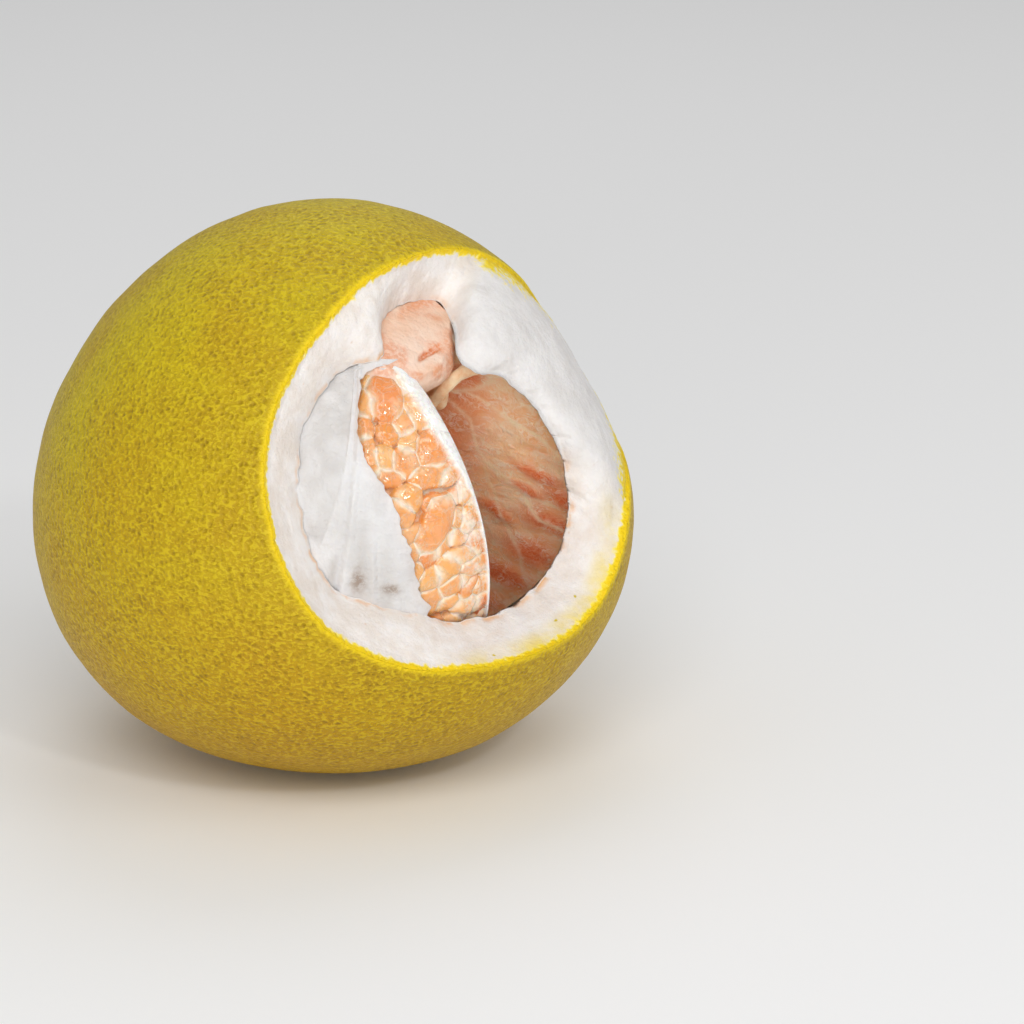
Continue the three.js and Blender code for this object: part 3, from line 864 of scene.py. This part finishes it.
def make_pulp(material):
    """Juice sacs over the bare part of the open segment: one lumpy sheet of pressed drops."""
    rows, columns, under = 380, 150, 10
    heights = np.linspace(-18, 55.45, rows)[:, None]
    share = np.linspace(0, 1, columns)[None]
    start = np.array([torn_turn(h) for h in heights[:, 0]])[:, None] - 2.5
    turn = mix(np.clip(start, OPEN_SEGMENT[0] + 0.4, OPEN_SEGMENT[1] - 1.5), OPEN_SEGMENT[1] - 0.15, share)
    along = heights + 0 * turn
    base = outer_point(turn, along)
    normal = outer_normal(base)
    radius = length(base - CORE_FOOT - along[..., None] * AXIS)
    x = np.radians(turn - 272) * radius
    y = FLESH_HALF_LENGTH * np.arcsin(np.clip(along / FLESH_HALF_LENGTH, -1, 1))
    x = x + 0.9 * grain(base, 5, 91) + 0.3 * grain(base, 1.8, 92)
    y = y + 0.9 * grain(base, 5, 93) + 0.3 * grain(base, 1.8, 94)
    highest = np.full(x.shape, -9.0)
    second = np.full(x.shape, -9.0)
    tone = np.zeros(x.shape)
    for across, up, sac_radius, lean, sac_tone, sac_rise, stretch in lay_sacs(26, (-24, 80)):
        dx, dy = x - across, y - up
        long_, wide = dx * math.cos(lean) + dy * math.sin(lean), dy * math.cos(lean) - dx * math.sin(lean)
        distance = np.hypot(long_ / stretch, wide * stretch**0.4) / sac_radius
        reach = sac_rise + np.where(
            distance < 1.25, np.sqrt(np.maximum(1.6 - distance**2, 0)) * sac_radius * 0.33, -distance
        )
        higher = reach > highest
        second = np.where(higher, highest, np.maximum(second, reach))
        tone = np.where(higher, sac_tone, tone)
        highest = np.where(higher, reach, highest)
    wall = np.minimum(highest - second, 4) * 1.1
    height = highest - 0.35 * bell(wall / 0.35)
    height = height + 0.2 * grain(base, 2.2, 95) + 0.09 * grain(base, 0.9, 96)
    edge_share = (turn - OPEN_SEGMENT[0]) / (OPEN_SEGMENT[1] - OPEN_SEGMENT[0])
    rounding = SEGMENT_ROUNDING * (2 * edge_share - 1) ** ROUNDING_POWER
    from_rim = radius * np.radians(OPEN_SEGMENT[1] - 0.15 - turn) + 0.35 * grain(base, 2.5, 97)
    rim_width = mix(1.0, 6.2, smooth(34, 50, along))
    upper_end = smooth(54.5, 55.0, along + 0.15 * grain(base, 3, 99))
    rim = np.maximum(smooth(rim_width, 0.5 * rim_width, from_rim), upper_end)
    height = mix(height - 1.9, 0.2, rim) - rounding
    height = height - 0.7 * smooth(3, 0, share * radius * np.radians(turn[:, -1:] - turn[:, :1]))
    top = base + normal * height[..., None]
    haze = smooth(279, 287, turn + 2 * grain(base, 6, 98)) + smooth(12, 2, along)
    deep = smooth(0.72, 0.95, tone) * smooth(0.4, 1.4, wall) * (1 - smooth(16, 26, along)) * 0.75
    bed = base[:, ::-1][:, np.linspace(0, columns - 1, under).astype(int)]
    bed = bed - outer_normal(bed) * (SAC_BED + 0.8)
    rings = np.concatenate([top, bed], axis=1)

    def widen(values):
        return np.concatenate([values, np.zeros((rows, under))], axis=1)

    attributes = {
        "wall": widen(wall), "tone": widen(tone), "haze": widen(np.minimum(haze, 1)),
        "deep": widen(deep), "rim": widen(rim),
    }
    piece = ring_surface("juice_sacs", rings[0].mean(0), rings, rings[-1].mean(0), attributes)
    return finish_piece(piece, material, "flesh")


# The lower edge of the panel where the next segment's skin shows grey: turn and height.
PANEL_EDGE = [
    (222, 50), (230, 41.9), (238, 32.6), (241, 28), (244, 26.4), (245, 28.5), (246, 33),
    (247, 37), (248, 42), (248.6, 62), (360, 99),
]
# Thin spots in the skin near its lower end: turn, height, and half their width and height.
SKIN_SPOTS = [(255.3, 21.5, 1.9, 2.9), (263, 19.6, 2.4, 1.7)]
FLAP_START = 222  # the skin runs on over the crease beside the next segment


def panel(turn, along):
    """How far a point lies above the lower edge of the grey panel beside the bare segment."""
    lower = np.interp(turn, *np.array(PANEL_EDGE, float).T)
    return np.clip((along - lower) / 1.4, 0, 1)


def make_skin_flap(material):
    """The skin left on the bare segment, with a torn edge, as a sheet of real thickness."""
    heights = np.concatenate([np.linspace(-22, 44, 130), np.linspace(44.3, 55.5, 70)])
    columns = 110
    top, under = [], []
    for height in heights:
        anchor = outer_point(np.array(torn_turn(height)), np.array(height))
        tear = 1.1 * grain(anchor, 3.2, 101) + 0.7 * grain(anchor, 1.3, 102)
        end = torn_turn(height) + tear
        share = np.linspace(0, 1, columns) ** 0.8
        turn = mix(FLAP_START, np.maximum(end, OPEN_SEGMENT[0] + 0.8), share)
        base = outer_point(turn, np.full(columns, height))
        normal = outer_normal(base)
        lift = 0.22 + 0.36 * grain(base * [1, 1, 0.5], 5, 103) + 0.14 * grain(base, 2.2, 104)
        lift = lift - 0.1 * smooth(250, 247, turn) - 0.3 * panel(turn, height)
        curl = 0.4 * bell((1 - share) * 14) * smooth(54, 50, height)
        groove = -0.45 * bell((turn - OPEN_SEGMENT[0]) / 0.9)
        slanted = (turn - 259 + 0.12 * (height - 20)) / 0.7
        fold = 0.4 * bell((turn - 251.8) / 0.9)
        lift = lift + (fold + 0.35 * bell(slanted) * smooth(34, 24, height))
        top.append(base + normal * (lift + curl + groove)[:, None])
        thin = SKIN_THICKNESS * np.clip((1 - share) * 8, 0.15, 1)
        under.append(base + normal * (lift + curl + groove - thin)[:, None])
    top, under = np.array(top), np.array(under)
    rings = np.concatenate([top, under[:, ::-1]], axis=1)
    first = rings[0].mean(0)
    last = rings[-1].mean(0)
    turns = np.degrees(np.arctan2((rings - CORE_FOOT) @ ASIDE, (rings - CORE_FOOT) @ ACROSS)) % 360
    along = rings @ AXIS
    wander = 0.8 * grain(rings, 3, 105)
    spots = sum(
        np.exp(-((((turns + wander - turn) / wide) ** 2 + ((along + wander - height) / high) ** 2) ** 1.5))
        for turn, height, wide, high in SKIN_SPOTS
    )
    # Painted shade: grey streaks along the skin's folds and in the crease beside the next segment.
    painted_fold_shade = 0.75 * bell((turns + wander - 255) / 2.2) * smooth(42, 27, along)
    painted_fold_shade += 0.45 * bell((turns + wander - 262) / 2) * smooth(36, 24, along)
    painted_fold_shade += 0.8 * bell((turns - 248.9) / 1.2) * smooth(28, 24, along)
    blotches = 0.35 * smooth(-0.1, 0.5, grain(rings * [1, 1, 0.5], 4, 106))
    mottle = 0.3 + 0.3 * smooth(-0.5, 0.6, grain(rings * [1, 1, 0.4], 2.6, 107))
    # grey: the panel's own grey, the painted fold shade and random blotches.
    grey = np.clip(mottle * panel(turns, along) + painted_fold_shade + blotches, 0, 1)
    attributes = {"tint": np.minimum(spots, 1) * 0.85, "grey": grey}
    return finish_piece(ring_surface("skin_flap", first, rings, last, attributes), material, "segment_skin")


def blob(centre, axes, sizes, lumps, seed, rows, count):
    """A lumpy closed form about a centre, with half-sizes along three axes."""
    theta = np.pi * (np.arange(rows) + 1) / (rows + 1)
    phi = circle(count)
    t, p = np.meshgrid(theta, phi, indexing="ij")
    ball = np.stack([np.sin(t) * np.cos(p), np.sin(t) * np.sin(p), np.cos(t)], -1)
    ball = np.sign(ball) * np.abs(ball) ** 0.92
    rings = centre + (ball * sizes) @ np.array(axes)
    rings = rings + unit(rings - centre) * sum(
        size * grain(rings, cell, seed + i) for i, (cell, size) in enumerate(lumps)
    )[..., None]
    ends = [centre + axes[2] * sizes[2] * sign for sign in (1, -1)]
    return ends[0], rings, ends[1]


TIP_TURN = 330
TIP_MIDDLE = (9, 50.3)  # from the core and along the axis
TIP_SIZE = (17, 19, 9)


def make_tip(material):
    """The torn end of the missing segment: a soft lobe that fills the top of the gap, with a slit."""
    forward = spoke(TIP_TURN)
    sideways = spoke(TIP_TURN + 90)
    axes = [forward, sideways, AXIS]
    heart = CORE_FOOT + TIP_MIDDLE[0] * forward + TIP_MIDDLE[1] * AXIS
    lumps = [(8, 0.9), (3.5, 0.35), (1.6, 0.14)]
    first, rings, last = blob(heart, axes, np.array(TIP_SIZE), lumps, 111, 150, 200)

    def settle(points):
        along = (points @ AXIS)[..., None]
        level = points - along * AXIS
        fill = np.sqrt((level**2).sum(-1, keepdims=True) / FLESH_RADIUS**2 + along**2 / FLESH_HALF_LENGTH**2)
        limit = 1.004 + 0.006 * grain(points, 6, 114)[..., None]
        return np.where(fill > limit, points * limit / fill, points)

    rings, first, last = settle(rings), settle(first[None])[0], settle(last[None])[0]
    slit_at = CORE_FOOT + 20.5 * spoke(310) + 54 * AXIS
    normal = outer_normal(slit_at)
    right = unit(np.cross(UP, normal))
    rise = np.cross(normal, right)
    local_x, local_y = (rings - slit_at) @ right, (rings - slit_at) @ rise
    line = local_y - 0.35 * local_x + 0.5 * grain(rings, 2.5, 115)
    near = np.abs((rings - slit_at) @ normal) < 6
    slit = bell(line / 0.75) * np.exp(-((local_x / 3.6) ** 4)) * near
    rings = rings - normal * (1.5 * slit)[..., None]
    toward = unit(rings)
    edge = from_map(outline(PITH_OUTLINE, 300))
    closeness = np.degrees(np.arccos(np.clip((toward @ edge.T).max(-1), -1, 1)))
    # Painted shade: the lobe is tinted orange near the pith's edge, under its overhang; the next line adds
    # random orange mottling.
    rim = smooth(6, 0.5, closeness) * smooth(-0.3, 0.4, grain(rings, 5, 116) + 0.25)
    rim = np.maximum(rim, 0.8 * smooth(0.1, 0.6, grain(rings, 4.5, 117)))
    piece = ring_surface("segment_tip", first, rings, last, {"tint": np.clip(slit * 1.3 + rim * 0.75, 0, 1)})
    return finish_piece(piece, material, "membrane", "segment_tip")


def wall_point(away, along, proud=0.0):
    return CORE_FOOT + away * spoke(GAP_END) + along * AXIS - proud * spoke(GAP_END + 90)


def make_strand(material):
    """The cream strand of core fibre that crosses the top of the gap."""
    bends = [(20.5, 29, 1.5), (22.5, 35, 4.2), (24.8, 41.5, 5), (27.8, 47.5, 3.8), (32.5, 50.5, 1)]
    ends = [wall_point(*bend) for bend in bends]
    radii = [1.2, 1.6, 1.5, 1.7, 2.8]
    count, rows = 24, 60
    share = np.linspace(0, len(ends) - 1, rows)
    centre = np.stack([np.interp(share, range(len(ends)), [e[k] for e in ends]) for k in range(3)], -1)
    for _ in range(6):
        centre[1:-1] = (centre[:-2] + 2 * centre[1:-1] + centre[2:]) / 4
    radius = np.interp(share, range(len(radii)), radii)
    tangent = unit(np.gradient(centre, axis=0))
    side = unit(np.cross(tangent, spoke(GAP_END + 90)))
    other = np.cross(tangent, side)
    angle = circle(count)
    rings = centre[:, None] + radius[:, None, None] * (
        np.cos(angle)[None, :, None] * side[:, None] + 0.7 * np.sin(angle)[None, :, None] * other[:, None]
    )
    rings = rings + unit(rings - centre[:, None]) * (0.3 * grain(rings, 1.7, 121))[..., None]
    return finish_piece(ring_surface("core_strand", centre[0], rings, centre[-1]), material, "pith")


def make_lump(material):
    axes = [spoke(GAP_END), AXIS, -spoke(GAP_END + 90)]
    heart = wall_point(24.5, 36.5, 0.6)
    lumps = [(3, 0.5), (1.3, 0.2)]
    first, rings, last = blob(heart, axes, np.array(LUMP_SIZE), lumps, 131, 24, 32)
    return finish_piece(ring_surface("core_lump", first, rings, last), material, "pith")


def make_core(material):
    """The column of pith along the middle, with fibres down its length."""
    rows, count = 120, 64
    inside = FLESH_HALF_LENGTH * math.sqrt(1 - ((CORE_OFFSET + CORE_RADIUS) / FLESH_RADIUS) ** 2)
    angle = np.pi * (np.arange(rows) + 0.5) / rows
    phi = circle(count)
    radius = CORE_RADIUS * np.sin(angle) ** CORE_BLUNTNESS
    ribs = 1 - 0.1 * np.abs(np.sin(5.5 * phi))
    spread = radius[:, None] * ribs[None]
    along = -inside * np.cos(angle)
    rings = (
        CORE_FOOT + along[:, None, None] * AXIS
        + spread[..., None] * (np.cos(phi)[:, None] * ACROSS + np.sin(phi)[:, None] * ASIDE)
    )
    stretched = rings - 0.75 * (rings @ AXIS)[..., None] * AXIS
    outward = unit(rings - CORE_FOOT - ((rings - CORE_FOOT) @ AXIS)[..., None] * AXIS)
    rings = rings + outward * (0.25 * grain(stretched, 1.4, 141) - 0.25)[..., None]
    piece = ring_surface("core", CORE_FOOT - inside * AXIS, rings, CORE_FOOT + inside * AXIS)
    return finish_piece(piece, material, "pith", "core")


# ---- Build ----
skin_white = (rgb(232, 228, 226), rgb(218, 213, 210), rgb(244, 241, 238))
skin_grey = (rgb(234, 229, 226), rgb(220, 213, 209), rgb(246, 242, 238))
skin_cream = (rgb(232, 222, 212), rgb(214, 198, 184), rgb(246, 238, 228))
pulp_cream = (rgb(246, 226, 206), rgb(238, 206, 174), rgb(252, 240, 226))
tip_pink = (rgb(243, 214, 194), rgb(232, 188, 158), rgb(250, 232, 216))
segment_skin = membrane_material("segment_skin", skin_cream, tint=rgb(214, 150, 110))
panel_skin = membrane_material("panel_skin", skin_grey, tint=rgb(226, 176, 140))
# flap_skin's grey serves the panel's own grey and the painted shade along the folds.
flap_skin = membrane_material("flap_skin", skin_white, tint=rgb(150, 128, 112), grey=rgb(203, 197, 193))
pulp_bed = membrane_material("pulp_bed", pulp_cream, shine=0.3, tint=rgb(232, 164, 104))
# tip_skin's tint is the orange of the slit, of random mottling and of painted shade under the pith's edge.
tip_skin = membrane_material("tip_skin", tip_pink, tint=rgb(222, 132, 76), vein_scale=150)
cream = pith_material("core_fibre", rgb(252, 222, 184), rgb(240, 186, 136), 300)
white_pith = pith_material("core_pith", rgb(246, 242, 234), rgb(226, 218, 206))

make_rind()
make_stem_scar()
make_wall_segment()
for number in range(2, WHOLE_SEGMENTS + 1):
    make_whole_segment(number, panel_skin if number == WHOLE_SEGMENTS else segment_skin)
make_open_segment(pulp_bed)
make_pulp(pulp_material())
make_skin_flap(flap_skin)
make_tip(tip_skin)
make_strand(cream)
make_lump(cream)
make_core(white_pith)


# ---- Floor, light and camera ----
CAMERA_ELEVATION = 17.0
CAMERA_DISTANCE = 1.0
AIM_RIGHT = 0.0446
AIM_BELOW = 0.0066
CAMERA_LENS = 137.9
SUBJECT_SHIFT = (-0.0005, -0.0004, -0.0013)
WORLD_LIGHT = 0.44
LAMPS = [  # name, place, size and power
    ("key", (-0.1, -1.2, 1.15), 0.9, 8),
    ("glint", (0.55, -1.2, 1.0), 0.16, 3),
    ("front", (-0.25, -1.6, 0.22), 0.7, 5.5),
    ("side", (1.2, -0.7, 1.0), 1.0, 3),
    ("back", (0.1, 1.0, 1.3), 1.0, 3),
]


def make_floor():
    size = 3.0
    mesh = bpy.data.meshes.new("floor")
    corners = [(x * size, y * size, -0.0002) for x, y in ((-1, -1), (1, -1), (1, 1), (-1, 1))]
    mesh.from_pydata(corners, [], [(0, 1, 2, 3)])
    floor = new_object("floor", mesh)
    n = Nodes("floor")
    n.set(Base_Color=rgb(247, 247, 247), Roughness=0.8)
    mesh.materials.append(n.material)


def add_area(name, place, target, size, power):
    lamp = bpy.data.lights.new(name, "AREA")
    lamp.shape = "DISK"
    lamp.size = size
    lamp.energy = power
    holder = new_object(name, lamp)
    holder.location = place
    holder.rotation_euler = (target - Vector(place)).to_track_quat("-Z", "Y").to_euler()


def make_light(target):
    for name, place, size, power in LAMPS:
        add_area(name, place, target, size, power)
    world = bpy.data.worlds.new("studio")
    bpy.context.scene.world = world
    world.use_nodes = True
    background = world.node_tree.nodes["Background"]
    background.inputs[0].default_value = (1, 1, 1, 1)
    background.inputs[1].default_value = WORLD_LIGHT


def make_camera():
    """The photograph's view: a little above the fruit, which stands left of the middle."""
    elevation = math.radians(CAMERA_ELEVATION)
    subject = Vector(MIDDLE * MM + np.array(SUBJECT_SHIFT))
    back = Vector((0, -math.cos(elevation), math.sin(elevation)))
    rise = Vector((0, math.sin(elevation), math.cos(elevation)))
    place = subject + back * CAMERA_DISTANCE
    aim = subject + Vector((AIM_RIGHT, 0, 0)) - rise * AIM_BELOW
    camera = bpy.data.cameras.new("camera")
    camera.sensor_width = 36
    camera.lens = CAMERA_LENS
    holder = new_object("camera", camera)
    holder.location = place
    holder.rotation_euler = (aim - place).to_track_quat("-Z", "Y").to_euler()
    bpy.context.scene.camera = holder
    bpy.context.scene.view_settings.view_transform = "Standard"
    return subject


make_floor()
make_light(make_camera())
